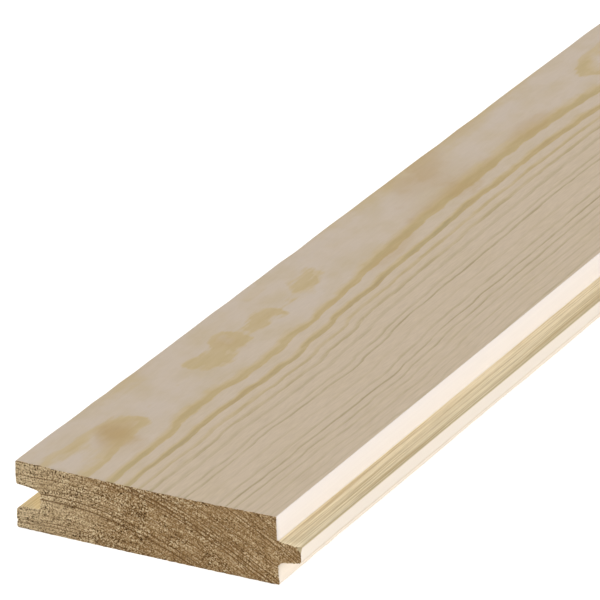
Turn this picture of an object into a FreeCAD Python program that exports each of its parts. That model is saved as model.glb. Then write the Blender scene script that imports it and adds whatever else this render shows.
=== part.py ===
import FreeCAD, Part
import math
import os

# Tongue and groove board: one length of planed softwood, in millimetres.
# X runs across the board from its grooved edge to its tongued edge, Y runs along the grain,
# and Z runs up from the underside that it lies on to the face.
# The origin is in the middle of the overall width and length, on the underside.

# The board
LENGTH = 2000.0
COVER_WIDTH = 88.0             # what each board covers once its tongue is home in the next one
THICKNESS = 22.0
ARRIS_RADIUS = 0.4             # the four long outer edges, only just eased

# The tongue, a little below half way up the edge at +X
ABOVE_TONGUE = 7.7             # from the face down to the top of the tongue, at its root
TONGUE_LENGTH = 7.5
TONGUE_ROOT_THICKNESS = 7.2
TONGUE_TOP_TAPER = 7.5         # degrees that the tongue's top falls towards its nose
TONGUE_BOTTOM_TAPER = 10.0     # degrees that its underside rises towards its nose
UPPER_ROOT_RADIUS = 0.6        # hollow corner between the tongue's top and the upper shoulder
LOWER_ROOT_RADIUS = 1.7        # the same between its underside and the lower shoulder
NOSE_TOP_RADIUS = 1.2
NOSE_BOTTOM_RADIUS = 1.0

# The groove at the same height in the edge at -X, cut to take the tongue of the next board
FLANK_CLEARANCE = 0.1          # between the tongue and each side of the groove, at its mouth
NOSE_CLEARANCE = 0.7           # between the tongue's nose and the back of the groove
GROOVE_TOP_TAPER = 6.0         # degrees that the groove's top falls towards its back
GROOVE_BOTTOM_TAPER = 4.0      # degrees that the groove's floor rises towards its back
GROOVE_BACK_TOP_RADIUS = 1.4
GROOVE_BACK_BOTTOM_RADIUS = 0.6


def rise(run, degrees):
    """Height that a flank gains over a run at its taper."""
    return run * math.tan(math.radians(degrees))


def rounded_wire(corners, y):
    """Closed wire in an XZ plane: straight sides, with an arc at each (x, z, radius) corner."""
    points = [FreeCAD.Vector(x, y, z) for x, z, radius in corners]
    arcs = []
    for index, point in enumerate(points):
        radius = corners[index][2]
        to_last = (points[index - 1] - point).normalize()
        to_next = (points[(index + 1) % len(points)] - point).normalize()
        half_angle = to_last.getAngle(to_next) / 2
        setback = radius / math.tan(half_angle)
        inset = radius / math.sin(half_angle) - radius
        start = point + to_last * setback
        middle = point + (to_last + to_next).normalize() * inset
        end = point + to_next * setback
        arcs.append((start, middle, end))
    edges = []
    for index, (start, middle, end) in enumerate(arcs):
        next_start = arcs[(index + 1) % len(arcs)][0]
        edges.append(Part.Arc(start, middle, end).toShape())
        edges.append(Part.LineSegment(end, next_start).toShape())
    return Part.Wire(edges)


def board_section():
    """Corners of the section, round from the underside's grooved edge to the tongue and back."""
    groove_edge = -(COVER_WIDTH + TONGUE_LENGTH) / 2
    shoulder = groove_edge + COVER_WIDTH
    nose = shoulder + TONGUE_LENGTH

    root_top = THICKNESS - ABOVE_TONGUE
    root_bottom = root_top - TONGUE_ROOT_THICKNESS
    nose_top = root_top - rise(TONGUE_LENGTH, TONGUE_TOP_TAPER)
    nose_bottom = root_bottom + rise(TONGUE_LENGTH, TONGUE_BOTTOM_TAPER)

    groove_depth = TONGUE_LENGTH + NOSE_CLEARANCE
    groove_back = groove_edge + groove_depth
    mouth_top = root_top + FLANK_CLEARANCE
    mouth_bottom = root_bottom - FLANK_CLEARANCE
    back_top = mouth_top - rise(groove_depth, GROOVE_TOP_TAPER)
    back_bottom = mouth_bottom + rise(groove_depth, GROOVE_BOTTOM_TAPER)
    upper_lip_radius = UPPER_ROOT_RADIUS + FLANK_CLEARANCE
    lower_lip_radius = LOWER_ROOT_RADIUS + FLANK_CLEARANCE

    return [
        (groove_edge, 0, ARRIS_RADIUS),
        (shoulder, 0, ARRIS_RADIUS),
        (shoulder, root_bottom, LOWER_ROOT_RADIUS),
        (nose, nose_bottom, NOSE_BOTTOM_RADIUS),
        (nose, nose_top, NOSE_TOP_RADIUS),
        (shoulder, root_top, UPPER_ROOT_RADIUS),
        (shoulder, THICKNESS, ARRIS_RADIUS),
        (groove_edge, THICKNESS, ARRIS_RADIUS),
        (groove_edge, mouth_top, upper_lip_radius),
        (groove_back, back_top, GROOVE_BACK_TOP_RADIUS),
        (groove_back, back_bottom, GROOVE_BACK_BOTTOM_RADIUS),
        (groove_edge, mouth_bottom, lower_lip_radius),
    ]


def board():
    """The whole board: its section, run from one sawn end to the other."""
    section = Part.Face(rounded_wire(board_section(), -LENGTH / 2))
    return section.extrude(FreeCAD.Vector(0, LENGTH, 0))


os.makedirs("parts", exist_ok=True)
board().exportStep("parts/board.step")
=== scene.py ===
import math
import random

import bpy
from mathutils import Matrix, Vector
from mathutils.geometry import delaunay_2d_cdt


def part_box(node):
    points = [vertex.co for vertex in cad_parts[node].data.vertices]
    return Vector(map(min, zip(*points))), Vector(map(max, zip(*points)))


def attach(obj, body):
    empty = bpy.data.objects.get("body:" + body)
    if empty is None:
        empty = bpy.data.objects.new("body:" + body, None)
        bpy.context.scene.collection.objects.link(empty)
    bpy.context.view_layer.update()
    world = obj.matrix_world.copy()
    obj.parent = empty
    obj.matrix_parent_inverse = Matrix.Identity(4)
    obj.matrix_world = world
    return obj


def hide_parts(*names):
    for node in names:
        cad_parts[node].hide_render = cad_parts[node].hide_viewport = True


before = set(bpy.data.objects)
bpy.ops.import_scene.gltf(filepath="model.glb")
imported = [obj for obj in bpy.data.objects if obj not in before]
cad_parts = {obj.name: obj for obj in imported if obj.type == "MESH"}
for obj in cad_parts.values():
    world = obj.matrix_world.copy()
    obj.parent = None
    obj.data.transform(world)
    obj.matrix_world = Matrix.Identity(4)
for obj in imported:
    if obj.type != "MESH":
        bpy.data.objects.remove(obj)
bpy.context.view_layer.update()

# The board
# One length of softwood, sawn from beside the heart of the log. A moulder has planed all four
# sides and worked the tongue and the groove, and a saw has cut the ends square across. It has
# dried since, so it cups: the face that was nearer the bark has gone a little hollow.

MM = 0.001
ABOVE_TONGUE = 7.7 * MM
TONGUE_LENGTH = 7.5 * MM
TONGUE_ROOT = 7.2 * MM
TONGUE_TOP_TAPER = math.radians(7.5)
TONGUE_BOTTOM_TAPER = math.radians(10.0)
UPPER_ROOT_RADIUS = 0.6 * MM
LOWER_ROOT_RADIUS = 1.7 * MM
NOSE_TOP_RADIUS = 0.6 * MM
NOSE_BOTTOM_RADIUS = 1.0 * MM
FLANK_CLEARANCE = 0.1 * MM
NOSE_CLEARANCE = 0.7 * MM
GROOVE_TOP_TAPER = math.radians(6.0)
GROOVE_BOTTOM_TAPER = math.radians(4.0)
GROOVE_TOP_RADIUS = 1.4 * MM
GROOVE_BOTTOM_RADIUS = 0.6 * MM
ARRIS_RADIUS = 0.4 * MM

low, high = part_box("board")
length = high.y - low.y
thickness = high.z - low.z
groove_edge = low.x
nose = high.x
shoulder = nose - TONGUE_LENGTH
cover_centre = (groove_edge + shoulder) / 2
half_cover = (shoulder - groove_edge) / 2
middle = (low.z + high.z) / 2

root_top = high.z - ABOVE_TONGUE
root_bottom = root_top - TONGUE_ROOT
nose_top = root_top - TONGUE_LENGTH * math.tan(TONGUE_TOP_TAPER)
nose_bottom = root_bottom + TONGUE_LENGTH * math.tan(TONGUE_BOTTOM_TAPER)
groove_depth = TONGUE_LENGTH + NOSE_CLEARANCE
groove_back = groove_edge + groove_depth
mouth_top = root_top + FLANK_CLEARANCE
mouth_bottom = root_bottom - FLANK_CLEARANCE
back_top = mouth_top - groove_depth * math.tan(GROOVE_TOP_TAPER)
back_bottom = mouth_bottom + groove_depth * math.tan(GROOVE_BOTTOM_TAPER)
upper_lip_radius = UPPER_ROOT_RADIUS + FLANK_CLEARANCE
lower_lip_radius = LOWER_ROOT_RADIUS + FLANK_CLEARANCE

# Each corner of the section is its x, its z, its radius and its share of the handling wear.
SECTION = [
    (groove_edge, low.z, ARRIS_RADIUS, 1.0),
    (shoulder, low.z, ARRIS_RADIUS, 1.0),
    (shoulder, root_bottom, LOWER_ROOT_RADIUS, 0.0),
    (nose, nose_bottom, NOSE_BOTTOM_RADIUS, 0.5),
    (nose, nose_top, NOSE_TOP_RADIUS, 0.5),
    (shoulder, root_top, UPPER_ROOT_RADIUS, 0.0),
    (shoulder, high.z, ARRIS_RADIUS, 1.0),
    (groove_edge, high.z, ARRIS_RADIUS, 1.0),
    (groove_edge, mouth_top, upper_lip_radius, 0.6),
    (groove_back, back_top, GROOVE_TOP_RADIUS, 0.0),
    (groove_back, back_bottom, GROOVE_BOTTOM_RADIUS, 0.0),
    (groove_edge, mouth_bottom, lower_lip_radius, 0.6),
]

ARC_STEPS = 6
RUN_STEP = 1.0 * MM
END_GRID = 0.42 * MM
GRID_JITTER = 0.2              # of the grid's spacing, so that the sawn end's facets show no rows
GRID_SEED = 7
RIM_GAP = 0.2 * MM
INSIDE_ONLY = 1                # tells the triangulation to keep only what the outline encloses
SAME_POINT = 1e-9


def rounded_outline(corners):
    """Points round the section: an arc at each corner and short steps along each straight side."""
    arcs = []
    for index, (x, z, radius, wear) in enumerate(corners):
        point = Vector((x, z))
        to_last = (Vector(corners[index - 1][:2]) - point).normalized()
        to_next = (Vector(corners[(index + 1) % len(corners)][:2]) - point).normalized()
        half_angle = to_last.angle(to_next) / 2
        centre = point + (to_last + to_next).normalized() * (radius / math.sin(half_angle))
        start = point + to_last * (radius / math.tan(half_angle)) - centre
        end = point + to_next * (radius / math.tan(half_angle)) - centre
        turn = end.angle_signed(start)
        arc = []
        for step in range(ARC_STEPS + 1):
            arc.append((centre + Matrix.Rotation(turn * step / ARC_STEPS, 2) @ start, wear))
        arcs.append(arc)
    outline = []
    for index, arc in enumerate(arcs):
        outline.extend(arc)
        start = arc[-1][0]
        end = arcs[(index + 1) % len(arcs)][0][0]
        steps = max(1, round((end - start).length / RUN_STEP))
        for step in range(1, steps):
            outline.append((start.lerp(end, step / steps), 0.0))
    return outline


def inside(point, outline):
    """Whether a point lies in the section: an odd number of sides passes to its right."""
    crossings = 0
    for index, (start, wear) in enumerate(outline):
        end = outline[(index + 1) % len(outline)][0]
        if (start.y > point.y) != (end.y > point.y):
            share = (point.y - start.y) / (end.y - start.y)
            if start.x + share * (end.x - start.x) > point.x:
                crossings += 1
    return crossings % 2 == 1


def sawn_end_mesh():
    """The section as a flat sheet of small triangles across the grain, with its rim marked."""
    scatter = random.Random(GRID_SEED)
    outline = rounded_outline(SECTION)
    points = [point for point, wear in outline]
    row_step = END_GRID * math.sqrt(0.75)
    for row in range(1, int(thickness / row_step) + 1):
        for column in range(int((nose - groove_edge) / END_GRID) + 1):
            x = groove_edge + (column + 0.5 * (row % 2)) * END_GRID
            z = low.z + row * row_step
            jitter = Vector((scatter.uniform(-1, 1), scatter.uniform(-1, 1))) * END_GRID * GRID_JITTER
            point = Vector((x, z)) + jitter
            clear = all((point - other).length > RIM_GAP for other, wear in outline)
            if clear and inside(point, outline):
                points.append(point)
    sides = [(index, (index + 1) % len(outline)) for index in range(len(outline))]
    sheet = delaunay_2d_cdt(points, sides, [], INSIDE_ONLY, SAME_POINT)
    flat, faces = sheet[0], sheet[2]
    mesh = bpy.data.meshes.new("sawn_end")
    mesh.from_pydata([(point.x, 0.0, point.y) for point in flat], [], faces)
    arris = mesh.attributes.new("arris", "FLOAT", "POINT")
    rim = mesh.attributes.new("rim", "FLOAT", "POINT")
    for index, (point, wear) in enumerate(outline):
        arris.data[index].value = wear
        rim.data[index].value = 1.0
    return mesh


def add(tree, kind, inputs=(), **settings):
    """Add a node with its settings. Its inputs are values, or the nodes or sockets to link."""
    node = tree.nodes.new(kind)
    for setting, value in settings.items():
        setattr(node, setting, value)
    for name, value in dict(inputs).items():
        if isinstance(value, bpy.types.Node):
            value = next(socket for socket in value.outputs if socket.enabled)
        if isinstance(value, bpy.types.NodeSocket):
            tree.links.new(value, node.inputs[name])
        else:
            node.inputs[name].default_value = value
    return node


def linear(hex_colour):
    """A colour written as sRGB hex, as the linear values that a shader takes."""
    values = [int(hex_colour[place:place + 2], 16) / 255 for place in (1, 3, 5)]
    return [v / 12.92 if v <= 0.04045 else ((v + 0.055) / 1.055) ** 2.4 for v in values] + [1.0]


# The material: planed softwood, such as pine or spruce, left untreated. Each growth ring is pale
# earlywood that darkens into thin, harder latewood. The rings are one solid pattern, so the faces
# cut them as long lines and arches, and the ends as hill-shaped arcs. Sizes here are in mm.

CROWN_FROM_GROOVE = 15.0       # the line where the rings stand highest, from the grooved edge
RING_ROUNDNESS = 59.7          # how far either side of it a ring stays a rounded hill
RING_FALL = 0.82               # how steeply it falls beyond

# The crown line's wander to the side, by distance from the near end, where the photo shows it:
# close to the crown, and as the longer lines on its tongue side follow it
CROWN_SIDEWAYS = [
    (0, -0.3), (20, -0.1), (38, 0.2), (60, -0.3), (80, -0.9), (92, 0.6), (99, -1.6), (112, -0.4),
    (119, -0.2), (126, 0.9), (138, 1.1), (147, -1.4), (156, -3.2), (200, -3.4), (240, -3.8), (300, -4.0),
    (336, -3.0), (342, -1.4), (350, -0.2), (400, -1.0),
]
LINES_SIDEWAYS = [
    (0, -1.4), (10, -1.2), (30, -0.8), (45, -0.4), (60, 0.4), (74, 0.6), (84, 0.1), (97, 0.4), (104, 0.0),
    (112, -0.4), (125, -0.9), (150, -2.8), (165, -3.0), (180, -2.8), (210, -3.1), (240, -3.4),
    (270, -3.7), (300, -3.6), (345, -1.5), (400, -1.0),
]
SIDEWAYS_SPAN = 12.0           # the band that both lists lie in
TO_LINES = (7.0, 20.0)         # across, from the crown: where the second list takes over

GROOVE_SIDEWAYS = -8.0         # the same for the lines on its groove side
TO_GROOVE = (-9.0, -16.0)

# The rings' slow rise and fall there, which cuts arches and islands in the face at the crown
RISE = [
    (0, -0.51), (10, -0.45), (20, -0.39), (30, -0.33), (37, -0.28), (40, -0.22), (42, -0.13), (45, 0.02),
    (58, 0.08), (74, 0.03), (78, -0.1), (82, -0.18), (88, -0.17), (92, -0.14), (97, -0.24), (103, -0.29),
    (107, -0.19), (110, -0.08), (113, -0.08), (117, -0.11), (121, -0.13), (126, -0.15), (129, -0.05),
    (132, 0.03), (139, 0.0), (143, -0.08), (150, -0.16), (156, -0.17), (161, -0.08), (165, 0.02),
    (178, 0.14), (210, 0.28), (240, 0.38), (275, 0.38), (305, 0.29), (326, 0.15), (338, 0.0),
    (346, -0.3), (362, -0.52), (400, -0.6),
]
RISE_SPAN = 2.0                # the band that this list lies in
NEAR_STRETCH = 400.0           # the length that the lists cover
TO_FAR = (320.0, 560.0)        # along: where chance takes over from them
FAR_SIDEWAYS = 5.0             # how far the crown wanders and the rings rise by chance
FAR_RISE = 2.4
FAR_PERIOD = 430.0
FAR_RISE_PERIOD = 215.0
FAR_RISE_PLACE = 3010.0        # the rise reads the noise from here, so that it goes its own way

# Each ring: the height of its outer edge at the crown, above the underside, then how dark its
# latewood is and how much of the ring it fills
RINGS = [
    (-3.6, 0.5, 0.3), (-1.4, 0.5, 0.3), (0.4, 0.4, 0.3), (2.3, 0.6, 0.3), (3.3, 0.7, 0.3),
    (5.6, 0.4, 0.25), (7.8, 0.3, 0.25), (10.85, 1.0, 0.22), (12.6, 1.0, 0.3), (14.4, 0.6, 0.25),
    (16.0, 0.5, 0.25), (17.6, 0.9, 0.25), (18.9, 0.4, 0.3), (20.2, 0.4, 0.3), (21.65, 0.52, 0.29),
    (23.05, 0.66, 0.55), (24.45, 0.82, 0.55), (25.55, 0.55, 0.5), (26.7, 0.65, 0.55), (28.2, 0.47, 0.5),
    (30.15, 0.5, 0.3), (31.1, 0.75, 0.5), (33.6, 0.3, 0.25), (36.05, 0.5, 0.3), (37.6, 0.8, 0.35),
    (39.15, 0.62, 0.4), (40.75, 0.5, 0.4), (42.85, 0.5, 0.35), (44.3, 0.35, 0.35), (46.0, 0.35, 0.35),
    (48.0, 0.5, 0.35), (50.0, 0.6, 0.35),
]
LATEWOOD_FULL = 0.5            # share of the latewood in which it reaches its full darkness
LATEWOOD_END = 0.06            # share of a ring in which its latewood stops

# How the rings stray: how wide and how long each bend is, and how far it shifts a ring
BENDS = (9.0, 38.0, 0.5)       # small bends to the side
FEATHERS = (1.2, 12.0, 0.05)   # feathered edges of the lines, up or down
WISPS = (5.0, 9.0, 0.12)       # wisps that trail off the arches, up or down

# The finer patterns, drawn out along the grain: how wide and how long the marks of each are, then
# the detail and the roughness of its noise
FIBRES = (0.5, 6.0, 3.0, 0.5)
PATCHES = (8.0, 45.0, 2.0, 0.5)     # broad patches of another tint
CLOUDS = (10.0, 18.0, 3.0, 0.6)     # clouds within them
FADING = (3.0, 24.0, 4.0, 0.65)     # stretches where a line fades
STREAKS = (0.6, 90.0, 3.0, 0.7)     # streaks in the tongue and the groove

# The strength of the lines on the face. Those near the crown are steady. Those further out, where
# the ring has fallen by so much, fade in places.
NOISE_BAND = (0.35, 0.65)      # where most of a noise's values lie
WIDE_BAND = (0.3, 0.7)         # and where nearly all of them do
FADED_LINE = 0.55
BOLD_LINE = 1.2
STEADY_LINE = 0.95
FADING_FALL = (1.0, 4.0)
FADING_AT_CROWN = 0.35
BOLDER_ALONG = (70.0, 140.0)   # along: where the lines grow from the one strength to the other
BOLDER = (0.88, 0.93)
BESIDE_GROOVE = (-9.0, -3.0)   # across: where they grow from this strength to their own
FAINT_BESIDE_GROOVE = 0.6

# How the tints change: where each starts and is complete, and its strength
TAN_FALL = 4.0
PATCH_TAN = 0.3
CLOUD_BAND = (0.42, 0.68)
CLOUDS_AT_CROWN = 0.6
CLOUDS_BEYOND = 0.25
GREY_FALL = (2.5, 6.0)
YELLOW_BY = 0.6                # the latewood's strength at which it is fully yellow
DEEP_FROM = 0.4                # and from which it turns olive or brown
WORKED_HEIGHT = (9.5, 8.5)     # up or down from mid height: from the planed face to the worked tongue and groove, painted paler
STREAK_BAND = (0.42, 0.62)
STREAK_STRENGTH = 0.8
FIBRE_ACROSS = (5.0, 35.0)     # across: where the fibres grow from the one contrast to the other
FIBRE_CONTRAST = (0.1, 0.3)

# The sawn ends: the sizes and strengths of the marks, and where they and the tint change
PIT_SIZE = 0.46                # the pits, and the torn fibres between them
ROW_SIZE = (4.0, 0.42)         # rows of pits, along a ring and through it
CALM_SIZE = 6.0                # areas with fewer marks
CALM_BAND = (0.4, 0.6)
SPECK_TURN = (0.5, 0.7, 0.3)   # turned off the board's axes, so that the cut shows no grid
ROW_SLICE = 0.4                # the slice of the rows' noise that the near end shows
ROW_STRENGTH = 0.1
PIT_CONTRAST = (0.68, 1.18)
QUIETER_ACROSS = (20.0, 55.0)
QUIETER = 0.7
PIT_REACH = 0.26               # how far from its middle the noise makes a full pit's painted shadow or a fibre's painted highlight
WARM_ACROSS = (-15.0, 25.0)
PATCH_WARM = 0.2
END_RING_BAND = (0.15, 0.7)
END_RING_STRENGTH = 0.8

# Which colour shows where, by how far the surface faces along the grain or across it: the sawn
# end grain, and the painted highlight and painted shade on the upright edges and the tongue's nose
FACES_END = 0.8
NOSE_SHADE_FROM_SHOULDER = 3.0     # the nose's painted shade starts here and goes outwards
NOSE_SHADE_FACING = (0.15, 0.4)
HIGHLIGHT_FACING = 0.4              # the edges' painted highlight shows from here on
HIGHLIGHT_FACING_ON_TONGUE = 0.8
FOOT_HEIGHT = (7.0, 5.0)       # below this the edge takes the painted highlight even where it faces less across
FOOT_FACING = 0.35
HIGHLIGHT_SOFTNESS = 0.2
HIGHLIGHT_STRENGTH = 0.95
# Below this height the edges' painted highlight gives way to painted shade
EDGE_SHADE_HEIGHT = (15.0, 12.5)

# How far the marks stand out, and how matt the surfaces are
FIBRE_RELIEF = 0.02
LATEWOOD_RELIEF = 0.02
SAW_RELIEF = 0.2
PLANED_ROUGHNESS = 0.75
SAWN_ROUGHNESS = 1.0
SHINE = 0.2

# Browner places on the face, where resin or weather has darkened it: each one's place from the
# grooved edge and from the near end, its half widths, its turn in degrees and its strength
STAINS = [
    (18.5, 29.0, 8.5, 17.0, 20, 0.6),
    (17.0, 29.0, 6.0, 7.0, 0, 0.6),
    (15.5, 101.0, 8.0, 9.0, 0, 0.3),
    (21.5, 236.0, 8.0, 34.0, 0, 0.6),
    (27.0, 188.0, 5.0, 24.0, 8, 0.35),
    (4.0, 251.0, 9.0, 20.0, 25, 0.42),
    (3.0, 231.0, 8.0, 11.0, 0, 0.3),
    (12.0, 238.0, 11.0, 24.0, 0, 0.3),
    (20.5, 290.0, 6.0, 22.0, 0, 0.4),
    (1.0, 280.0, 6.0, 20.0, 0, 0.25),
    (1.0, 64.0, 5.0, 14.0, 0, 0.15),
]
STAIN_DEPTH = 3.0
STAIN_CORE = 0.2               # share of its size in which a stain has its full strength
STAIN_RAGGEDNESS = 0.4

EARLYWOOD_PINK = "#C8B9A9"
EARLYWOOD_TAN = "#C9B7A0"
EARLYWOOD_CLOUD = "#C0AE8F"
LATEWOOD_YELLOW = "#C2AC80"
LATEWOOD_OLIVE = "#A59874"
LATEWOOD_BROWN = "#A9936D"
LATEWOOD_SOFT = "#B9A98C"
LATEWOOD_GREY = "#A29272"
STAIN = "#B59A6D"
# Painted highlight: the upright edges, pale and flat where the lamps wash them out
EDGE_HIGHLIGHT = "#E1D8D1"
# Painted shade: the upright edges lower down
EDGE_LOWER_SHADE = "#E1D6C9"
# Painted shade: the rounded upper corner of the tongue's nose
NOSE_CORNER_SHADE = "#BCAA86"
# Painted light: the tongue's slope and the groove's floor, paler than the face
PALE_LIT_SLOPE = "#F8E8C6"
PALE_LIT_GROOVE = "#EAD7AA"
WORKED_STREAK = "#C5AB7B"
END_PALE = "#D3BA92"
END_WARM = "#A8865A"
# Painted shadow in the sawn ends' pits and painted highlight on their torn fibres
END_PIT_SHADOW = "#3F2A12"
END_FIBRE_HIGHLIGHT = "#F1DCB4"
END_LATEWOOD = "#6A4A28"


def set_curve(node, points, handles):
    """Run a curve node through its points, with straight or rounded stretches between them."""
    curve = node.mapping.curves[0]
    curve.points[0].location = points[0]
    curve.points[1].location = points[-1]
    for point in points[1:-1]:
        curve.points.new(*point)
    for point in curve.points:
        point.handle_type = handles
    node.mapping.update()


def by_distance(values, span):
    """A list of distances along the board and values, as the points of a curve from 0 to 1."""
    return [(distance / NEAR_STRETCH, 0.5 + value / span) for distance, value in values]


def grain_scale(wide, long):
    """The scale of a pattern whose marks are so wide across the grain and so long along it."""
    return 1 / wide, 1 / long, 1 / wide


def planed_softwood():
    """The board's material."""
    material = bpy.data.materials.new("planed_softwood")
    material.use_nodes = True
    tree = material.node_tree
    tree.nodes.clear()

    # Where a point lies: across from the crown line, along from the near end, up from the underside
    place = add(tree, "ShaderNodeTexCoord")
    grain = add(tree, "ShaderNodeMapping", {
        "Vector": place.outputs["Object"],
        "Location": (-groove_edge / MM - CROWN_FROM_GROOVE, -low.y / MM, -low.z / MM),
        "Scale": (1 / MM, 1 / MM, 1 / MM),
    })
    across, along, up = add(tree, "ShaderNodeSeparateXYZ", {0: grain}).outputs

    # Where the crown line runs, and how high the rings stand, at each distance along the board
    near = add(tree, "ShaderNodeMath", {0: along, 1: NEAR_STRETCH}, operation="DIVIDE", use_clamp=True)
    at_crown = add(tree, "ShaderNodeFloatCurve", {"Value": near})
    set_curve(at_crown, by_distance(CROWN_SIDEWAYS, SIDEWAYS_SPAN), "AUTO_CLAMPED")
    at_lines = add(tree, "ShaderNodeFloatCurve", {"Value": near})
    set_curve(at_lines, by_distance(LINES_SIDEWAYS, SIDEWAYS_SPAN), "AUTO_CLAMPED")
    to_lines = add(tree, "ShaderNodeMapRange", {
        "Value": across, "From Min": TO_LINES[0], "From Max": TO_LINES[1]})
    sideways = add(tree, "ShaderNodeMix", {
        "Factor": to_lines, "A": at_crown, "B": at_lines}, data_type="FLOAT")
    to_groove = add(tree, "ShaderNodeMapRange", {
        "Value": across, "From Min": TO_GROOVE[0], "From Max": TO_GROOVE[1]})
    sideways = add(tree, "ShaderNodeMix", {
        "Factor": to_groove, "A": sideways, "B": 0.5 + GROOVE_SIDEWAYS / SIDEWAYS_SPAN},
        data_type="FLOAT")
    sideways = add(tree, "ShaderNodeMapRange", {
        "Value": sideways, "To Min": -SIDEWAYS_SPAN / 2, "To Max": SIDEWAYS_SPAN / 2})
    rise = add(tree, "ShaderNodeFloatCurve", {"Value": near})
    set_curve(rise, by_distance(RISE, RISE_SPAN), "AUTO_CLAMPED")
    rise = add(tree, "ShaderNodeMapRange", {
        "Value": rise, "To Min": -RISE_SPAN / 2, "To Max": RISE_SPAN / 2})

    # Past the lists, both wander by chance
    to_far = add(tree, "ShaderNodeMapRange", {
        "Value": along, "From Min": TO_FAR[0], "From Max": TO_FAR[1]}, interpolation_type="SMOOTHSTEP")
    far_sideways = add(tree, "ShaderNodeTexNoise", {
        "W": along, "Scale": 1 / FAR_PERIOD, "Detail": 1.0},
        noise_dimensions="1D", normalize=False)
    far_sideways = add(tree, "ShaderNodeMath", {0: far_sideways, 1: FAR_SIDEWAYS}, operation="MULTIPLY")
    sideways = add(tree, "ShaderNodeMath", {0: far_sideways, 1: to_far, 2: sideways},
                   operation="MULTIPLY_ADD")
    elsewhere = add(tree, "ShaderNodeMath", {0: along, 1: FAR_RISE_PLACE}, operation="ADD")
    far_rise = add(tree, "ShaderNodeTexNoise", {
        "W": elsewhere, "Scale": 1 / FAR_RISE_PERIOD, "Detail": 2.0},
        noise_dimensions="1D", normalize=False)
    far_rise = add(tree, "ShaderNodeMath", {0: far_rise, 1: FAR_RISE}, operation="MULTIPLY")
    rise = add(tree, "ShaderNodeMath", {0: far_rise, 1: to_far, 2: rise}, operation="MULTIPLY_ADD")
    wide, long, shift = BENDS
    bends = add(tree, "ShaderNodeMapping", {"Vector": grain, "Scale": grain_scale(wide, long)})
    bends = add(tree, "ShaderNodeTexNoise", {"Vector": bends, "Scale": 1.0, "Detail": 2.0},
                normalize=False)
    sideways = add(tree, "ShaderNodeMath", {0: bends, 1: shift, 2: sideways}, operation="MULTIPLY_ADD")

    # The height of the ring through each point, as it would stand at the crown line
    from_crown = add(tree, "ShaderNodeMath", {0: across, 1: sideways}, operation="SUBTRACT")
    fall = add(tree, "ShaderNodeMath", {0: from_crown, 1: RING_FALL}, operation="MULTIPLY")
    fall = add(tree, "ShaderNodeMath", {0: fall, 1: fall, 2: RING_ROUNDNESS ** 2},
               operation="MULTIPLY_ADD")
    fall = add(tree, "ShaderNodeMath", {0: fall}, operation="SQRT")
    height = add(tree, "ShaderNodeMath", {0: fall, 1: up}, operation="ADD")
    height = add(tree, "ShaderNodeMath", {0: height, 1: rise}, operation="ADD")
    for wide, long, shift in (FEATHERS, WISPS):
        stray = add(tree, "ShaderNodeMapping", {"Vector": grain, "Scale": grain_scale(wide, long)})
        stray = add(tree, "ShaderNodeTexNoise", {"Vector": stray, "Scale": 1.0, "Detail": 2.0},
                    normalize=False)
        height = add(tree, "ShaderNodeMath", {0: stray, 1: shift, 2: height}, operation="MULTIPLY_ADD")

    # Which ring that is, and how far through its year's growth
    lowest = RINGS[0][0]
    highest = RINGS[-1][0]
    years = len(RINGS) - 1
    share = add(tree, "ShaderNodeMapRange", {
        "Value": height, "From Min": RING_ROUNDNESS + lowest, "From Max": RING_ROUNDNESS + highest})
    calendar = add(tree, "ShaderNodeFloatCurve", {"Value": share})
    set_curve(calendar, [
        ((ring[0] - lowest) / (highest - lowest), year / years) for year, ring in enumerate(RINGS)],
        "VECTOR")
    year = add(tree, "ShaderNodeMath", {0: calendar, 1: years}, operation="MULTIPLY")
    season = add(tree, "ShaderNodeMath", {0: year}, operation="FRACT")
    year = add(tree, "ShaderNodeMath", {0: year}, operation="CEIL")
    year = add(tree, "ShaderNodeMath", {0: year, 1: years}, operation="DIVIDE")
    darkness = add(tree, "ShaderNodeFloatCurve", {"Value": year})
    set_curve(darkness, [(index / years, ring[1]) for index, ring in enumerate(RINGS)], "VECTOR")
    breadth = add(tree, "ShaderNodeFloatCurve", {"Value": year})
    set_curve(breadth, [(index / years, ring[2]) for index, ring in enumerate(RINGS)], "VECTOR")

    # Latewood sets in slowly over its share of the ring and stops short at the ring's outer edge
    left = add(tree, "ShaderNodeMath", {0: 1.0, 1: season}, operation="SUBTRACT")
    start = add(tree, "ShaderNodeMath", {0: breadth, 1: left}, operation="SUBTRACT")
    full = add(tree, "ShaderNodeMath", {0: breadth, 1: LATEWOOD_FULL}, operation="MULTIPLY")
    latewood = add(tree, "ShaderNodeMath", {0: start, 1: full}, operation="DIVIDE", use_clamp=True)
    stop = add(tree, "ShaderNodeMath", {0: left, 1: LATEWOOD_END}, operation="DIVIDE", use_clamp=True)
    latewood = add(tree, "ShaderNodeMath", {0: latewood, 1: stop}, operation="MULTIPLY")
    latewood = add(tree, "ShaderNodeMath", {0: latewood, 1: darkness}, operation="MULTIPLY")

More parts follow.
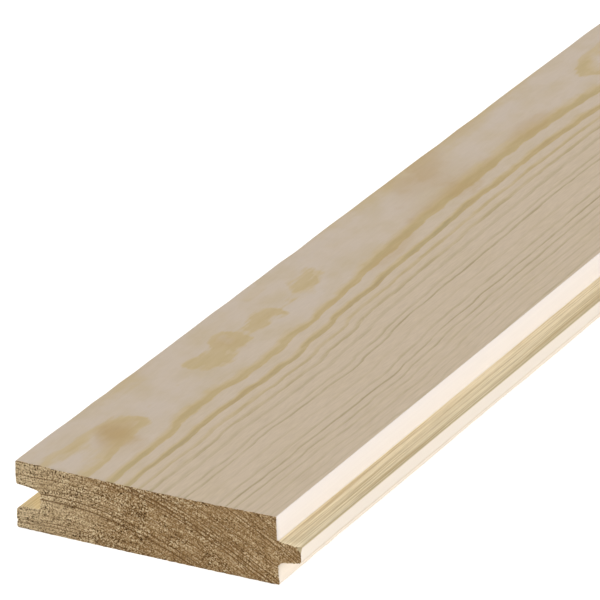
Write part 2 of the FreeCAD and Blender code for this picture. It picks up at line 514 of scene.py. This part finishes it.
    # The finer patterns, and how they make the lines bold or faint along the face
    patterns = []
    for wide, long, detail, raggedness in (FIBRES, PATCHES, CLOUDS, FADING, STREAKS):
        pattern = add(tree, "ShaderNodeMapping", {"Vector": grain, "Scale": grain_scale(wide, long)})
        patterns.append(add(tree, "ShaderNodeTexNoise", {
            "Vector": pattern, "Scale": 1.0, "Detail": detail, "Roughness": raggedness}))
    fibre, patch, clouds, bold, streak = patterns
    patch = add(tree, "ShaderNodeMapRange", {
        "Value": patch, "From Min": NOISE_BAND[0], "From Max": NOISE_BAND[1]})
    bold = add(tree, "ShaderNodeMapRange", {
        "Value": bold, "From Min": NOISE_BAND[0], "From Max": NOISE_BAND[1],
        "To Min": FADED_LINE, "To Max": BOLD_LINE})
    bolder = add(tree, "ShaderNodeMapRange", {
        "Value": along, "From Min": BOLDER_ALONG[0], "From Max": BOLDER_ALONG[1],
        "To Min": BOLDER[0], "To Max": BOLDER[1]})
    bold = add(tree, "ShaderNodeMath", {0: bold, 1: bolder}, operation="MULTIPLY")
    fading = add(tree, "ShaderNodeMapRange", {
        "Value": fall, "From Min": RING_ROUNDNESS + FADING_FALL[0],
        "From Max": RING_ROUNDNESS + FADING_FALL[1], "To Min": FADING_AT_CROWN})
    bold = add(tree, "ShaderNodeMix", {"Factor": fading, "A": STEADY_LINE, "B": bold}, data_type="FLOAT")
    own_strength = add(tree, "ShaderNodeMapRange", {
        "Value": across, "From Min": BESIDE_GROOVE[0], "From Max": BESIDE_GROOVE[1],
        "To Min": FAINT_BESIDE_GROOVE, "To Max": 1.0})
    bold = add(tree, "ShaderNodeMath", {0: bold, 1: own_strength}, operation="MULTIPLY")
    face_latewood = add(tree, "ShaderNodeMath", {0: latewood, 1: bold}, operation="MULTIPLY")

    # The tongue and the groove were worked deeper into the board. They are painted paler than the face,
    # without its latewood lines: painted light on the tongue's slope and the groove's floor. Their
    # slopes show fine streaks.
    off_middle = add(tree, "ShaderNodeMath", {0: up, 1: thickness / MM / 2}, operation="SUBTRACT")
    off_middle = add(tree, "ShaderNodeMath", {0: off_middle}, operation="ABSOLUTE")
    worked = add(tree, "ShaderNodeMapRange", {
        "Value": off_middle, "From Min": WORKED_HEIGHT[0], "From Max": WORKED_HEIGHT[1]})
    streak = add(tree, "ShaderNodeMapRange", {
        "Value": streak, "From Min": STREAK_BAND[0], "From Max": STREAK_BAND[1],
        "To Max": STREAK_STRENGTH})
    face_latewood = add(tree, "ShaderNodeMix", {
        "Factor": worked, "A": face_latewood, "B": 0.0}, data_type="FLOAT")

    # Earlywood is pinkish round the crown and tan away from it. Latewood is yellow, then olive or
    # brown, and greyer in the thin lines further out.
    away = add(tree, "ShaderNodeMapRange", {
        "Value": fall, "From Min": RING_ROUNDNESS, "From Max": RING_ROUNDNESS + TAN_FALL})
    away = add(tree, "ShaderNodeMath", {0: patch, 1: PATCH_TAN, 2: away},
               operation="MULTIPLY_ADD", use_clamp=True)
    early = add(tree, "ShaderNodeMix", {
        "Factor": away, "A": linear(EARLYWOOD_PINK), "B": linear(EARLYWOOD_TAN)}, data_type="RGBA")
    clouded = add(tree, "ShaderNodeMapRange", {
        "Value": clouds, "From Min": CLOUD_BAND[0], "From Max": CLOUD_BAND[1]})
    cloudiness = add(tree, "ShaderNodeMapRange", {
        "Value": fading, "From Min": FADING_AT_CROWN,
        "To Min": CLOUDS_AT_CROWN, "To Max": CLOUDS_BEYOND})
    clouded = add(tree, "ShaderNodeMath", {0: clouded, 1: cloudiness}, operation="MULTIPLY")
    early = add(tree, "ShaderNodeMix", {
        "Factor": clouded, "A": early, "B": linear(EARLYWOOD_CLOUD)}, data_type="RGBA")
    # Painted light: the worked tongue and groove take these paler colours
    in_groove = add(tree, "ShaderNodeMath", {0: across, 1: 0.0}, operation="LESS_THAN")
    painted_pale = add(tree, "ShaderNodeMix", {
        "Factor": in_groove, "A": linear(PALE_LIT_SLOPE), "B": linear(PALE_LIT_GROOVE)}, data_type="RGBA")
    painted_pale = add(tree, "ShaderNodeMix", {
        "Factor": streak, "A": painted_pale, "B": linear(WORKED_STREAK)}, data_type="RGBA")
    early = add(tree, "ShaderNodeMix", {"Factor": worked, "A": early, "B": painted_pale}, data_type="RGBA")
    outer = add(tree, "ShaderNodeMapRange", {
        "Value": fall, "From Min": RING_ROUNDNESS + GREY_FALL[0],
        "From Max": RING_ROUNDNESS + GREY_FALL[1]})
    late = add(tree, "ShaderNodeMix", {
        "Factor": patch, "A": linear(LATEWOOD_BROWN), "B": linear(LATEWOOD_OLIVE)}, data_type="RGBA")
    late = add(tree, "ShaderNodeMix", {
        "Factor": outer, "A": late, "B": linear(LATEWOOD_GREY)}, data_type="RGBA")
    soft_late = add(tree, "ShaderNodeMix", {
        "Factor": outer, "A": linear(LATEWOOD_YELLOW), "B": linear(LATEWOOD_SOFT)}, data_type="RGBA")
    yellow = add(tree, "ShaderNodeMapRange", {"Value": face_latewood, "From Max": YELLOW_BY})
    deep = add(tree, "ShaderNodeMapRange", {
        "Value": face_latewood, "From Min": DEEP_FROM, "From Max": 1.0})
    planed = add(tree, "ShaderNodeMix", {
        "Factor": yellow, "A": early, "B": soft_late}, data_type="RGBA")
    planed = add(tree, "ShaderNodeMix", {"Factor": deep, "A": planed, "B": late}, data_type="RGBA")

    # The stains, with ragged edges, and then the fibres' own light and dark
    ragged = add(tree, "ShaderNodeMapRange", {
        "Value": clouds, "From Min": WIDE_BAND[0], "From Max": WIDE_BAND[1],
        "To Min": -STAIN_RAGGEDNESS, "To Max": STAIN_RAGGEDNESS})
    for from_groove, from_end, half_across, half_along, stain_turn, stain_strength in STAINS:
        stain = add(tree, "ShaderNodeMapping", {
            "Vector": grain,
            "Location": (from_groove - CROWN_FROM_GROOVE, from_end, thickness / MM),
            "Rotation": (0.0, 0.0, math.radians(stain_turn)),
            "Scale": (half_across, half_along, STAIN_DEPTH)}, vector_type="TEXTURE")
        stain = add(tree, "ShaderNodeVectorMath", {0: stain}, operation="LENGTH").outputs["Value"]
        stain = add(tree, "ShaderNodeMath", {0: stain, 1: ragged}, operation="ADD")
        stain = add(tree, "ShaderNodeMapRange", {
            "Value": stain, "From Min": 1.0, "From Max": STAIN_CORE, "To Max": stain_strength},
            interpolation_type="SMOOTHSTEP")
        planed = add(tree, "ShaderNodeMix", {
            "Factor": stain, "A": planed, "B": linear(STAIN)}, data_type="RGBA")
    contrast = add(tree, "ShaderNodeMapRange", {
        "Value": across, "From Min": FIBRE_ACROSS[0], "From Max": FIBRE_ACROSS[1],
        "To Min": FIBRE_CONTRAST[0], "To Max": FIBRE_CONTRAST[1]})
    tone = add(tree, "ShaderNodeMath", {0: fibre, 1: 0.5}, operation="SUBTRACT")
    tone = add(tree, "ShaderNodeMath", {0: tone, 1: contrast, 2: 1.0}, operation="MULTIPLY_ADD")
    planed = add(tree, "ShaderNodeVectorMath", {0: planed, "Scale": tone}, operation="SCALE")

    # The sawn ends show the cut fibres end on: darker and matt. Their pale torn fibres are painted
    # highlights and their dark pits painted shadows, some of them in rows along the rings
    rows = add(tree, "ShaderNodeCombineXYZ", {0: across, 1: height, 2: along})
    rows = add(tree, "ShaderNodeMapping", {
        "Vector": rows, "Location": (0.0, 0.0, ROW_SLICE), "Scale": grain_scale(*ROW_SIZE)})
    rows = add(tree, "ShaderNodeTexNoise", {"Vector": rows, "Scale": 1.0, "Detail": 2.0})
    rows = add(tree, "ShaderNodeMapRange", {
        "Value": rows, "From Min": WIDE_BAND[0], "From Max": WIDE_BAND[1],
        "To Min": -ROW_STRENGTH, "To Max": ROW_STRENGTH})
    speck = add(tree, "ShaderNodeMapping", {
        "Vector": grain, "Rotation": SPECK_TURN, "Scale": grain_scale(PIT_SIZE, PIT_SIZE)})
    speck = add(tree, "ShaderNodeTexNoise", {"Vector": speck, "Scale": 1.0, "Detail": 0.5})
    calm = add(tree, "ShaderNodeTexNoise", {"Vector": grain, "Scale": 1 / CALM_SIZE, "Detail": 1.0})
    calm = add(tree, "ShaderNodeMapRange", {
        "Value": calm, "From Min": CALM_BAND[0], "From Max": CALM_BAND[1],
        "To Min": PIT_CONTRAST[0], "To Max": PIT_CONTRAST[1]})
    quiet = add(tree, "ShaderNodeMapRange", {
        "Value": across, "From Min": QUIETER_ACROSS[0], "From Max": QUIETER_ACROSS[1],
        "To Min": 1.0, "To Max": QUIETER})
    calm = add(tree, "ShaderNodeMath", {0: calm, 1: quiet}, operation="MULTIPLY")
    speck = add(tree, "ShaderNodeMath", {0: speck, 1: 0.5}, operation="SUBTRACT")
    speck = add(tree, "ShaderNodeMath", {0: speck, 1: calm, 2: rows}, operation="MULTIPLY_ADD")
    # Painted shadow in the pits, and painted highlight on the torn fibres between them
    pit_shadow = add(tree, "ShaderNodeMapRange", {"Value": speck, "From Min": 0.0, "From Max": -PIT_REACH})
    torn = add(tree, "ShaderNodeMapRange", {"Value": speck, "From Min": 0.0, "From Max": PIT_REACH})
    warm = add(tree, "ShaderNodeMapRange", {
        "Value": across, "From Min": WARM_ACROSS[0], "From Max": WARM_ACROSS[1]})
    warm = add(tree, "ShaderNodeMath", {0: patch, 1: PATCH_WARM, 2: warm},
               operation="MULTIPLY_ADD", use_clamp=True)
    sawn = add(tree, "ShaderNodeMix", {
        "Factor": warm, "A": linear(END_PALE), "B": linear(END_WARM)}, data_type="RGBA")
    sawn = add(tree, "ShaderNodeMix", {
        "Factor": pit_shadow, "A": sawn, "B": linear(END_PIT_SHADOW)}, data_type="RGBA")
    sawn = add(tree, "ShaderNodeMix", {
        "Factor": torn, "A": sawn, "B": linear(END_FIBRE_HIGHLIGHT)}, data_type="RGBA")
    sawn_ring = add(tree, "ShaderNodeMapRange", {
        "Value": latewood, "From Min": END_RING_BAND[0], "From Max": END_RING_BAND[1],
        "To Max": END_RING_STRENGTH})
    sawn = add(tree, "ShaderNodeMix", {
        "Factor": sawn_ring, "A": sawn, "B": linear(END_LATEWOOD)}, data_type="RGBA")

    # The rounded corner of the tongue's nose is painted browner, as painted shade. The upright edges
    # are painted pale, as painted highlights, with painted shade lower down. The ends show sawn wood.
    facing = add(tree, "ShaderNodeSeparateXYZ", {0: place.outputs["Normal"]}).outputs
    end = add(tree, "ShaderNodeMath", {0: facing["Y"]}, operation="ABSOLUTE")
    end = add(tree, "ShaderNodeMath", {0: end, 1: FACES_END}, operation="GREATER_THAN")
    edge = add(tree, "ShaderNodeMath", {0: facing["X"]}, operation="ABSOLUTE")
    # Painted shade: the nose's rounded upper corner is coloured darker, so that the lamp does not light it
    # brighter than the slope
    nose_shade_from = (shoulder - groove_edge) / MM - CROWN_FROM_GROOVE + NOSE_SHADE_FROM_SHOULDER
    on_tongue = add(tree, "ShaderNodeMath", {0: across, 1: nose_shade_from}, operation="GREATER_THAN")
    nose_shade = add(tree, "ShaderNodeMapRange", {
        "Value": edge, "From Min": NOSE_SHADE_FACING[0], "From Max": NOSE_SHADE_FACING[1]})
    nose_shade = add(tree, "ShaderNodeMath", {0: nose_shade, 1: on_tongue}, operation="MULTIPLY")
    planed = add(tree, "ShaderNodeMix", {
        "Factor": nose_shade, "A": planed, "B": linear(NOSE_CORNER_SHADE)}, data_type="RGBA")
    # Painted highlight: the upright edges, which face the lamps, take a pale flat colour without the grain's
    # lines
    highlight_from = add(tree, "ShaderNodeMapRange", {
        "Value": on_tongue, "To Min": HIGHLIGHT_FACING, "To Max": HIGHLIGHT_FACING_ON_TONGUE})
    foot = add(tree, "ShaderNodeMapRange", {
        "Value": up, "From Min": FOOT_HEIGHT[0], "From Max": FOOT_HEIGHT[1], "To Max": -FOOT_FACING})
    highlight_from = add(tree, "ShaderNodeMath", {0: highlight_from, 1: foot}, operation="ADD")
    edge_highlight = add(tree, "ShaderNodeMath", {0: edge, 1: highlight_from}, operation="SUBTRACT")
    edge_highlight = add(tree, "ShaderNodeMapRange", {
        "Value": edge_highlight, "From Max": HIGHLIGHT_SOFTNESS, "To Max": HIGHLIGHT_STRENGTH})
    # Painted shade: the edges are darker and yellower lower down, where less light reaches
    lower_shade = add(tree, "ShaderNodeMapRange", {
        "Value": up, "From Min": EDGE_SHADE_HEIGHT[0], "From Max": EDGE_SHADE_HEIGHT[1]})
    painted_pale = add(tree, "ShaderNodeMix", {
        "Factor": lower_shade, "A": linear(EDGE_HIGHLIGHT), "B": linear(EDGE_LOWER_SHADE)}, data_type="RGBA")
    planed = add(tree, "ShaderNodeMix", {"Factor": edge_highlight, "A": planed, "B": painted_pale}, data_type="RGBA")
    colour = add(tree, "ShaderNodeMix", {"Factor": end, "A": planed, "B": sawn}, data_type="RGBA")

    # Fibres and latewood stand a little proud on the planed wood, and pits sink into the sawn ends
    bump = add(tree, "ShaderNodeMath", {0: fibre, 1: FIBRE_RELIEF}, operation="MULTIPLY")
    bump = add(tree, "ShaderNodeMath", {0: latewood, 1: LATEWOOD_RELIEF, 2: bump},
               operation="MULTIPLY_ADD")
    saw_bump = add(tree, "ShaderNodeMath", {0: speck, 1: SAW_RELIEF}, operation="MULTIPLY")
    bump = add(tree, "ShaderNodeMix", {"Factor": end, "A": bump, "B": saw_bump}, data_type="FLOAT")
    bump = add(tree, "ShaderNodeBump", {"Height": bump, "Distance": MM, "Strength": 1.0})
    roughness = add(tree, "ShaderNodeMapRange", {
        "Value": end, "To Min": PLANED_ROUGHNESS, "To Max": SAWN_ROUGHNESS})
    wood = add(tree, "ShaderNodeBsdfPrincipled", {
        "Base Color": colour, "Normal": bump, "Roughness": roughness, "Specular IOR Level": SHINE})
    add(tree, "ShaderNodeOutputMaterial", {"Surface": wood})
    return material


# The shape: the sawn end's outline, run along the grain between the two ends and then cupped. The
# arrises are knocked here and there, and the saw has left the ends rough.

STATIONS = 150
CROWDING = 1.4                 # how much closer together they are at the ends; 1 is evenly spaced
HOLLOW = 0.6 * MM              # how far the face dips at its middle
BELLY = 0.2 * MM               # how far the underside's edges lift
LEAN = 0.3 * MM                # how far each edge leans in at the face
KNOCKS = 0.25 * MM
KNOCK_SIZE = 7.0 * MM
KNOCK_BAND = (0.45, 0.75)
SAW_ROUGHNESS = 0.12 * MM
SAW_GRIT = 0.9 * MM
TORN_SIZE = 1.6 * MM
TORN_BAND = (0.4, 0.75)        # the noise at which the rim starts to tear and is fully torn
TORN_START_AT_TONGUE = 0.2     # where it starts sooner
TONGUE_SIDE = (0.9, 1.0)       # share of the way out to the shoulder, from the middle
TORN_DEPTH = 4.0               # times the saw's roughness
CHIP = 1.5 * MM                # how much of the tongue's upper corner the saw has torn off at each end
TOUCHING = 0.01 * MM
CREASE = math.radians(50)


def board_tree():
    """Geometry Nodes that turn one flat sawn end into the whole board."""
    tree = bpy.data.node_groups.new("board_along_the_grain", "GeometryNodeTree")
    tree.interface.new_socket("Sawn End", in_out="INPUT", socket_type="NodeSocketGeometry")
    for name, kind in (
            ("Length", "Float"), ("Thickness", "Float"), ("Cover Centre", "Float"), ("Half Cover", "Float"),
            ("Hollow", "Float"), ("Belly", "Float"), ("Lean", "Float"), ("Knocks", "Float"),
            ("Saw Roughness", "Float"), ("Nose Corner", "Vector"), ("Chip", "Float"), ("Stations", "Int"),
            ("Timber", "Material")):
        tree.interface.new_socket(name, in_out="INPUT", socket_type="NodeSocket" + kind)
    tree.interface.new_socket("Board", in_out="OUTPUT", socket_type="NodeSocketGeometry")
    size = add(tree, "NodeGroupInput").outputs
    half_length = add(tree, "ShaderNodeMath", {0: size["Length"], 1: 0.5}, operation="MULTIPLY")

    # The outline, stood up in the plane that a sweep along Y expects
    neighbours = add(tree, "GeometryNodeInputMeshEdgeNeighbors")
    on_rim = add(tree, "FunctionNodeCompare", {2: neighbours, 3: 1}, data_type="INT", operation="EQUAL")
    outline = add(tree, "GeometryNodeMeshToCurve", {"Mesh": size["Sawn End"], "Selection": on_rim})
    outline = add(tree, "GeometryNodeTransform", {"Geometry": outline, "Rotation": (math.pi / 2, 0.0, 0.0)})

    # Stations along the grain, closer together towards the ends
    line = add(tree, "GeometryNodeCurvePrimitiveLine", {"Start": (0, -1, 0), "End": (0, 1, 0)})
    line = add(tree, "GeometryNodeResampleCurve", {"Curve": line, "Count": size["Stations"]})
    step = add(tree, "GeometryNodeSplineParameter").outputs["Factor"]
    step = add(tree, "ShaderNodeMath", {0: step, 1: 2.0, 2: -1.0}, operation="MULTIPLY_ADD")
    to_end = add(tree, "ShaderNodeMath", {0: step}, operation="ABSOLUTE")
    to_end = add(tree, "ShaderNodeMath", {0: 1.0, 1: to_end}, operation="SUBTRACT")
    to_end = add(tree, "ShaderNodeMath", {0: to_end, 1: CROWDING}, operation="POWER")
    station = add(tree, "ShaderNodeMath", {0: 1.0, 1: to_end}, operation="SUBTRACT")
    station = add(tree, "ShaderNodeMath", {0: station, 1: half_length}, operation="MULTIPLY")
    half = add(tree, "ShaderNodeMath", {0: step}, operation="SIGN")
    station = add(tree, "ShaderNodeMath", {0: station, 1: half}, operation="MULTIPLY")
    station = add(tree, "ShaderNodeCombineXYZ", {"Y": station})
    line = add(tree, "GeometryNodeSetPosition", {"Geometry": line, "Position": station})
    sides = add(tree, "GeometryNodeCurveToMesh", {"Curve": line, "Profile Curve": outline})

    # The two ends
    back = add(tree, "ShaderNodeMath", {0: half_length, 1: -1.0}, operation="MULTIPLY")
    to_near = add(tree, "ShaderNodeCombineXYZ", {"Y": back})
    to_far = add(tree, "ShaderNodeCombineXYZ", {"Y": half_length})
    near_end = add(tree, "GeometryNodeTransform", {"Geometry": size["Sawn End"], "Translation": to_near})
    far_end = add(tree, "GeometryNodeTransform", {"Geometry": size["Sawn End"], "Translation": to_far})
    far_end = add(tree, "GeometryNodeFlipFaces", {"Mesh": far_end})
    board = add(tree, "GeometryNodeJoinGeometry", {"Geometry": far_end})
    tree.links.new(near_end.outputs[0], board.inputs[0])
    tree.links.new(sides.outputs[0], board.inputs[0])
    board = add(tree, "GeometryNodeMergeByDistance", {"Geometry": board, "Distance": TOUCHING})

    # Cupping: across is -1 to 1 from edge to edge, and height is 0 to 1 from underside to face
    x, y, z = add(tree, "ShaderNodeSeparateXYZ", {0: add(tree, "GeometryNodeInputPosition")}).outputs
    across = add(tree, "ShaderNodeMath", {0: x, 1: size["Cover Centre"]}, operation="SUBTRACT")
    across = add(tree, "ShaderNodeMath", {0: across, 1: size["Half Cover"]}, operation="DIVIDE")
    across = add(tree, "ShaderNodeClamp", {"Value": across, "Min": -1.0, "Max": 1.0})
    height = add(tree, "ShaderNodeMath", {0: z, 1: size["Thickness"]}, operation="DIVIDE")
    edge = add(tree, "ShaderNodeMath", {0: across, 1: across}, operation="MULTIPLY")
    hollow = add(tree, "ShaderNodeMath", {0: edge, 1: 1.0}, operation="SUBTRACT")
    hollow = add(tree, "ShaderNodeMath", {0: hollow, 1: height}, operation="MULTIPLY")
    hollow = add(tree, "ShaderNodeMath", {0: hollow, 1: size["Hollow"]}, operation="MULTIPLY")
    depth = add(tree, "ShaderNodeMath", {0: 1.0, 1: height}, operation="SUBTRACT")
    belly = add(tree, "ShaderNodeMath", {0: edge, 1: depth}, operation="MULTIPLY")
    belly = add(tree, "ShaderNodeMath", {0: belly, 1: size["Belly"], 2: hollow}, operation="MULTIPLY_ADD")
    lean = add(tree, "ShaderNodeMath", {0: across, 1: height}, operation="MULTIPLY")
    lean = add(tree, "ShaderNodeMath", {0: lean, 1: size["Lean"]}, operation="MULTIPLY")
    lean = add(tree, "ShaderNodeMath", {0: lean, 1: -1.0}, operation="MULTIPLY")
    cup = add(tree, "ShaderNodeCombineXYZ", {"X": lean, "Z": belly})

    # Knocks along the arrises, pushed in towards the middle of the section
    arris = add(tree, "GeometryNodeInputNamedAttribute", {"Name": "arris"}, data_type="FLOAT")
    knock = add(tree, "ShaderNodeTexNoise", {"Scale": 1 / KNOCK_SIZE, "Detail": 3.0})
    knock = add(tree, "ShaderNodeMapRange", {
        "Value": knock, "From Min": KNOCK_BAND[0], "From Max": KNOCK_BAND[1]})
    knock = add(tree, "ShaderNodeMath", {0: knock, 1: arris}, operation="MULTIPLY")
    knock = add(tree, "ShaderNodeMath", {0: knock, 1: size["Knocks"]}, operation="MULTIPLY")
    inward_x = add(tree, "ShaderNodeMath", {0: across}, operation="SIGN")
    inward_x = add(tree, "ShaderNodeMath", {0: inward_x, 1: -1.0}, operation="MULTIPLY")
    inward_z = add(tree, "ShaderNodeMath", {0: 0.5, 1: height}, operation="SUBTRACT")
    inward_z = add(tree, "ShaderNodeMath", {0: inward_z}, operation="SIGN")
    inward = add(tree, "ShaderNodeCombineXYZ", {"X": inward_x, "Z": inward_z})
    knock = add(tree, "ShaderNodeVectorMath", {0: inward, "Scale": knock}, operation="SCALE")

    # The saw's roughness on the two ends, pushed in along the grain, with torn spots at the rim
    rim = add(tree, "GeometryNodeInputNamedAttribute", {"Name": "rim"}, data_type="FLOAT")
    out = add(tree, "ShaderNodeMath", {0: y}, operation="ABSOLUTE")
    out = add(tree, "ShaderNodeMath", {0: out, 1: half_length}, operation="SUBTRACT")
    at_end = add(tree, "ShaderNodeMath", {0: out, 1: -TOUCHING}, operation="GREATER_THAN")
    rough = add(tree, "ShaderNodeTexNoise", {"Scale": 1 / SAW_GRIT, "Detail": 2.0})
    torn = add(tree, "ShaderNodeTexNoise", {"Scale": 1 / TORN_SIZE, "Detail": 2.0})
    torn_side = add(tree, "ShaderNodeMapRange", {
        "Value": across, "From Min": TONGUE_SIDE[0], "From Max": TONGUE_SIDE[1],
        "To Min": TORN_BAND[0], "To Max": TORN_START_AT_TONGUE})
    torn = add(tree, "ShaderNodeMapRange", {
        "Value": torn, "From Min": torn_side, "From Max": TORN_BAND[1], "To Max": TORN_DEPTH})
    depth = add(tree, "ShaderNodeMix", {"Factor": rim, "A": rough, "B": torn}, data_type="FLOAT")
    depth = add(tree, "ShaderNodeMath", {0: depth, 1: size["Saw Roughness"]}, operation="MULTIPLY")
    section_place = add(tree, "ShaderNodeCombineXYZ", {"X": x, "Z": z})
    from_nose = add(tree, "ShaderNodeVectorMath", {
        0: section_place, 1: size["Nose Corner"]}, operation="DISTANCE").outputs["Value"]
    chip = add(tree, "ShaderNodeMath", {0: size["Chip"], 1: from_nose}, operation="SUBTRACT")
    depth = add(tree, "ShaderNodeMath", {0: depth, 1: chip}, operation="MAXIMUM")
    depth = add(tree, "ShaderNodeMath", {0: depth, 1: at_end}, operation="MULTIPLY")
    inward_y = add(tree, "ShaderNodeMath", {0: y}, operation="SIGN")
    depth = add(tree, "ShaderNodeMath", {0: depth, 1: inward_y}, operation="MULTIPLY")
    depth = add(tree, "ShaderNodeMath", {0: depth, 1: -1.0}, operation="MULTIPLY")
    rough = add(tree, "ShaderNodeCombineXYZ", {"Y": depth})

    offset = add(tree, "ShaderNodeVectorMath", {0: cup, 1: knock}, operation="ADD")
    offset = add(tree, "ShaderNodeVectorMath", {0: offset, 1: rough}, operation="ADD")
    board = add(tree, "GeometryNodeSetPosition", {"Geometry": board, "Offset": offset})
    board = add(tree, "GeometryNodeSetShadeSmooth", {"Geometry": board, "Shade Smooth": True})
    crease = add(tree, "GeometryNodeInputMeshEdgeAngle")
    crease = add(tree, "ShaderNodeMath", {0: crease, 1: CREASE}, operation="GREATER_THAN")
    board = add(tree, "GeometryNodeSetShadeSmooth", {
        "Geometry": board, "Selection": crease, "Shade Smooth": False}, domain="EDGE")
    board = add(tree, "GeometryNodeRealizeInstances", {"Geometry": board})
    board = add(tree, "GeometryNodeSetMaterial", {"Geometry": board, "Material": size["Timber"]})
    add(tree, "NodeGroupOutput", {"Board": board})
    return tree


board = bpy.data.objects.new("softwood_board", sawn_end_mesh())
bpy.context.scene.collection.objects.link(board)
run = board.modifiers.new("run", "NODES")
run.node_group = board_tree()
named_sizes = {
    "Length": length, "Thickness": thickness, "Cover Centre": cover_centre, "Half Cover": half_cover,
    "Hollow": HOLLOW, "Belly": BELLY, "Lean": LEAN, "Knocks": KNOCKS, "Saw Roughness": SAW_ROUGHNESS,
    "Nose Corner": (nose, 0.0, nose_top), "Chip": CHIP, "Stations": STATIONS, "Timber": planed_softwood(),
}
for socket in run.node_group.interface.items_tree:
    if socket.name in named_sizes:
        run[socket.identifier] = named_sizes[socket.name]
evaluated = board.evaluated_get(bpy.context.evaluated_depsgraph_get())
finished = bpy.data.meshes.new_from_object(evaluated)
board.modifiers.clear()
board.data = finished
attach(board, "root")
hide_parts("board")

# The floor
# A plain white studio floor. The camera sees it as white apart from the board's shadow.

FLOOR_SIZE = 80.0              # from its middle to each side
FLOOR_COLOUR = "#F2F2F0"
FLOOR_GLOW = 0.55

floor_mesh = bpy.data.meshes.new("studio_floor")
floor_corners = [
    (x * FLOOR_SIZE, y * FLOOR_SIZE, low.z) for x, y in ((-1, -1), (1, -1), (1, 1), (-1, 1))]
floor_mesh.from_pydata(floor_corners, [], [(0, 1, 2, 3)])
floor = bpy.data.objects.new("studio_floor", floor_mesh)
bpy.context.scene.collection.objects.link(floor)
floor_paint = bpy.data.materials.new("white_studio_floor")
floor_paint.use_nodes = True
tree = floor_paint.node_tree
tree.nodes.clear()
rays = add(tree, "ShaderNodeLightPath").outputs
seen = add(tree, "ShaderNodeMath", {0: rays["Is Camera Ray"], 1: rays["Is Glossy Ray"]}, operation="MAXIMUM")
seen = add(tree, "ShaderNodeMath", {0: seen, 1: FLOOR_GLOW}, operation="MULTIPLY")
paint = add(tree, "ShaderNodeBsdfDiffuse", {"Color": linear(FLOOR_COLOUR)})
glow = add(tree, "ShaderNodeEmission", {"Strength": seen})
paint = add(tree, "ShaderNodeAddShader", {0: paint, 1: glow})
add(tree, "ShaderNodeOutputMaterial", {"Surface": paint})
floor_mesh.materials.append(floor_paint)

# The light
# Two broad, soft lamps, low on either side, and a pale room all round. The stronger lamp is on
# the tongue's side. The other one reaches the sawn end and the floor of the groove.

LAMPS = [
    # name, height above the horizon, turn from the board's +X, spread, strength
    ("tongue_side_softbox", 20, 12, 30, 2.6),
    ("groove_side_softbox", 30, 201, 40, 2.45),
]
ROOM_STRENGTH = 0.32

for lamp_name, lamp_height, lamp_turn, lamp_spread, lamp_strength in LAMPS:
    lamp_data = bpy.data.lights.new(lamp_name, "SUN")
    lamp_data.energy = lamp_strength
    lamp_data.angle = math.radians(lamp_spread)
    lamp = bpy.data.objects.new(lamp_name, lamp_data)
    lamp.rotation_euler = (math.radians(90 - lamp_height), 0.0, math.radians(90 + lamp_turn))
    bpy.context.scene.collection.objects.link(lamp)

room = bpy.data.worlds.new("pale_room")
room.use_nodes = True
tree = room.node_tree
tree.nodes.clear()
rays = add(tree, "ShaderNodeLightPath").outputs
seen = add(tree, "ShaderNodeMath", {0: rays["Is Camera Ray"], 1: rays["Is Glossy Ray"]}, operation="MAXIMUM")
strength = add(tree, "ShaderNodeMapRange", {"Value": seen, "To Min": ROOM_STRENGTH, "To Max": 1.0})
sky = add(tree, "ShaderNodeBackground", {"Strength": strength})
add(tree, "ShaderNodeOutputWorld", {"Surface": sky})
bpy.context.scene.world = room

# The camera
# A long lens from the tongue's side, well back. It is aimed by the middle of the sawn end, whose
# pixel in the photo is known.

PHOTO_PIXELS = 600
FOCAL_PIXELS = 6126.3
AZIMUTH = math.radians(29.484)
ELEVATION = math.radians(23.931)
ROLL = math.radians(-1.666)
END_DISTANCE = 1775.2 * MM
END_PIXEL = (145.45, 522.36)
NEAR_CLIP = 0.1
FAR_CLIP = 200.0               # past the floor's far corner

camera_data = bpy.data.cameras.new("camera")
camera_data.lens = camera_data.sensor_width * FOCAL_PIXELS / PHOTO_PIXELS
camera = bpy.data.objects.new("camera", camera_data)
bpy.context.scene.collection.objects.link(camera)
bpy.context.scene.camera = camera
backward = Vector((
    math.sin(AZIMUTH) * math.cos(ELEVATION),
    -math.cos(AZIMUTH) * math.cos(ELEVATION),
    math.sin(ELEVATION)))
level = Vector((math.cos(AZIMUTH), math.sin(AZIMUTH), 0.0))
upright = backward.cross(level)
right = level * math.cos(ROLL) + upright * math.sin(ROLL)
upward = upright * math.cos(ROLL) - level * math.sin(ROLL)
end_middle = Vector((cover_centre, low.y, middle))
shift_right = (END_PIXEL[0] - PHOTO_PIXELS / 2) / FOCAL_PIXELS * END_DISTANCE
shift_up = (PHOTO_PIXELS / 2 - END_PIXEL[1]) / FOCAL_PIXELS * END_DISTANCE
camera.matrix_world = Matrix((right, upward, backward)).transposed().to_4x4()
camera.location = end_middle + backward * END_DISTANCE - right * shift_right - upward * shift_up
camera_data.clip_start = NEAR_CLIP
camera_data.clip_end = FAR_CLIP

bpy.context.scene.view_settings.view_transform = "Standard"
